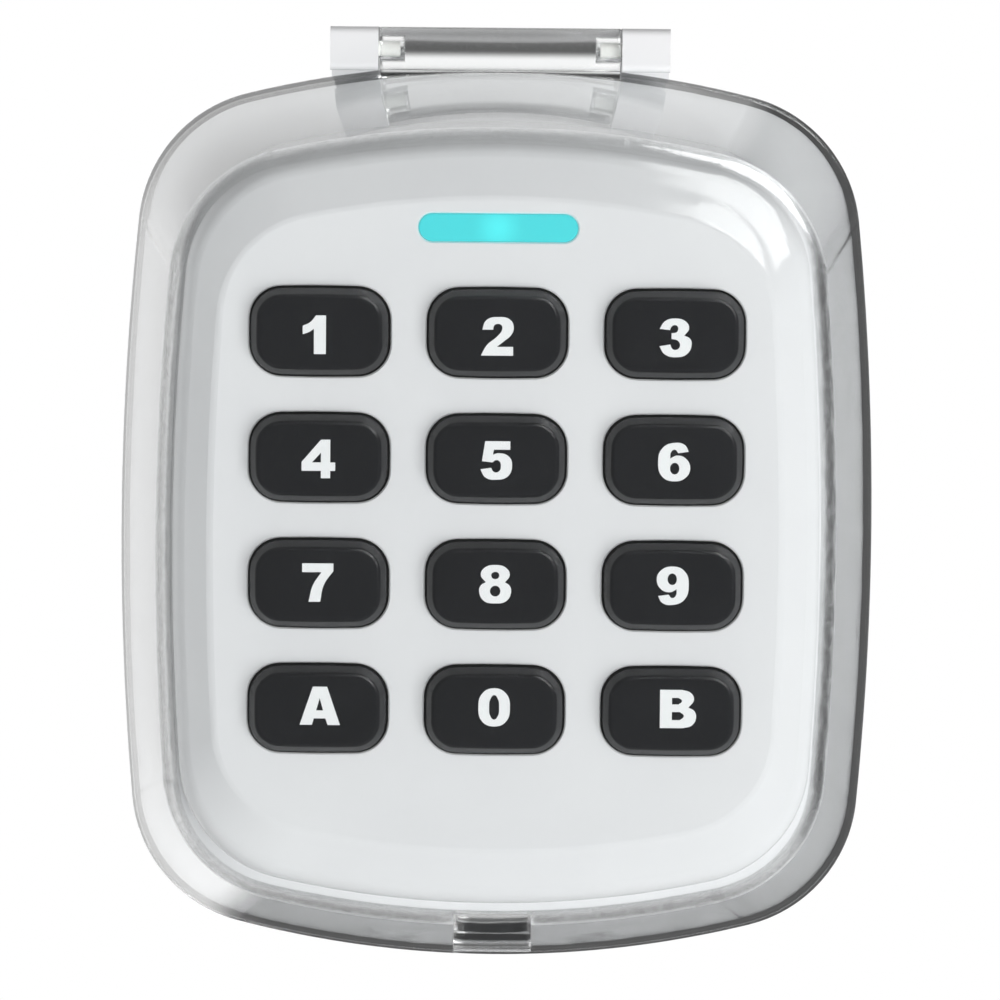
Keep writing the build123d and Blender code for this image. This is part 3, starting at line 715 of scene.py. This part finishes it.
# ---------------------------------------------------------------- lamps
# A large soft lamp in front, to the right and low, and one on each side behind, for the case's
# sides. None of them is mirrored in the clear cover.
KEY_LAMP_WAY = (0.42, -0.85, -0.32)
KEY_LAMP_DISTANCE = 1.4
KEY_LAMP_SIZE = (1.3, 1.3)
KEY_LAMP_POWER = 27.5
SIDE_LAMP_WAY = (0.85, 0.53, 0.05)
SIDE_LAMP_DISTANCE = 1.3
SIDE_LAMP_SIZE = (0.8, 0.8)
SIDE_LAMP_POWER = 9.5


def softbox(name, way, distance, size, power):
    """A soft lamp that faces the keypad from one way, upright, and isn't seen in glossy parts."""
    lamp = bpy.data.lights.new(name, "AREA")
    lamp.shape = "RECTANGLE"
    lamp.size, lamp.size_y = size
    lamp.energy = power
    holder = bpy.data.objects.new(name, lamp)
    bpy.context.collection.objects.link(holder)
    back = Vector(way).normalized()
    side = Vector((0, 0, 1)).cross(back).normalized()
    holder.matrix_world = Matrix((side, back.cross(side), back)).transposed().to_4x4()
    holder.location = back * distance
    holder.visible_glossy = holder.visible_transmission = False


softbox("key_lamp", KEY_LAMP_WAY, KEY_LAMP_DISTANCE, KEY_LAMP_SIZE, KEY_LAMP_POWER)
for side in (-1, 1):
    side_way = (side * SIDE_LAMP_WAY[0], *SIDE_LAMP_WAY[1:])
    softbox(f"side_lamp_{side}", side_way, SIDE_LAMP_DISTANCE, SIDE_LAMP_SIZE, SIDE_LAMP_POWER)

# ---------------------------------------------------------------- camera
# Almost square on to the keypad and a little above it. The picture's width is taken at the depth
# of the cover's rim, and its shifts are parts of that width.
CAMERA_DISTANCE = 0.560
CAMERA_ELEVATION = 4.7
CAMERA_AZIMUTH = 0.2
CAMERA_ROLL = 0.5
PICTURE_WIDTH = 0.1075
PICTURE_SHIFT = (0.0035, 0.012)
RIM_DEPTH = 9.3 * MM
SENSOR_WIDTH = 36
CLIP_START = 0.05
CLIP_END = 30

camera_data = bpy.data.cameras.new("camera")
camera = bpy.data.objects.new("camera", camera_data)
bpy.context.collection.objects.link(camera)
bpy.context.scene.camera = camera
rise, turn = radians(CAMERA_ELEVATION), radians(CAMERA_AZIMUTH)
back = Vector((sin(turn) * cos(rise), -cos(turn) * cos(rise), sin(rise)))
aim = Vector((0, -RIM_DEPTH, 0))
rim_distance = CAMERA_DISTANCE - RIM_DEPTH
camera.location = aim + back * rim_distance
camera.rotation_euler = (-back).to_track_quat("-Z", "Y").to_euler()
camera.rotation_euler.rotate_axis("Z", radians(CAMERA_ROLL))
camera_data.sensor_width = SENSOR_WIDTH
camera_data.lens = SENSOR_WIDTH / PICTURE_WIDTH * rim_distance
camera_data.shift_x, camera_data.shift_y = PICTURE_SHIFT
camera_data.clip_start = CLIP_START
camera_data.clip_end = CLIP_END

bpy.context.scene.view_settings.view_transform = "Standard"

# light is followed far enough to leave the clear walls, where it bounces many times
MOST_BOUNCES = 32
CLEAR_BOUNCES = 24
light_paths = bpy.context.scene.cycles
light_paths.max_bounces = MOST_BOUNCES
light_paths.glossy_bounces = CLEAR_BOUNCES
light_paths.transmission_bounces = CLEAR_BOUNCES

# ---------------------------------------------------------------- sizes
low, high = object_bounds()
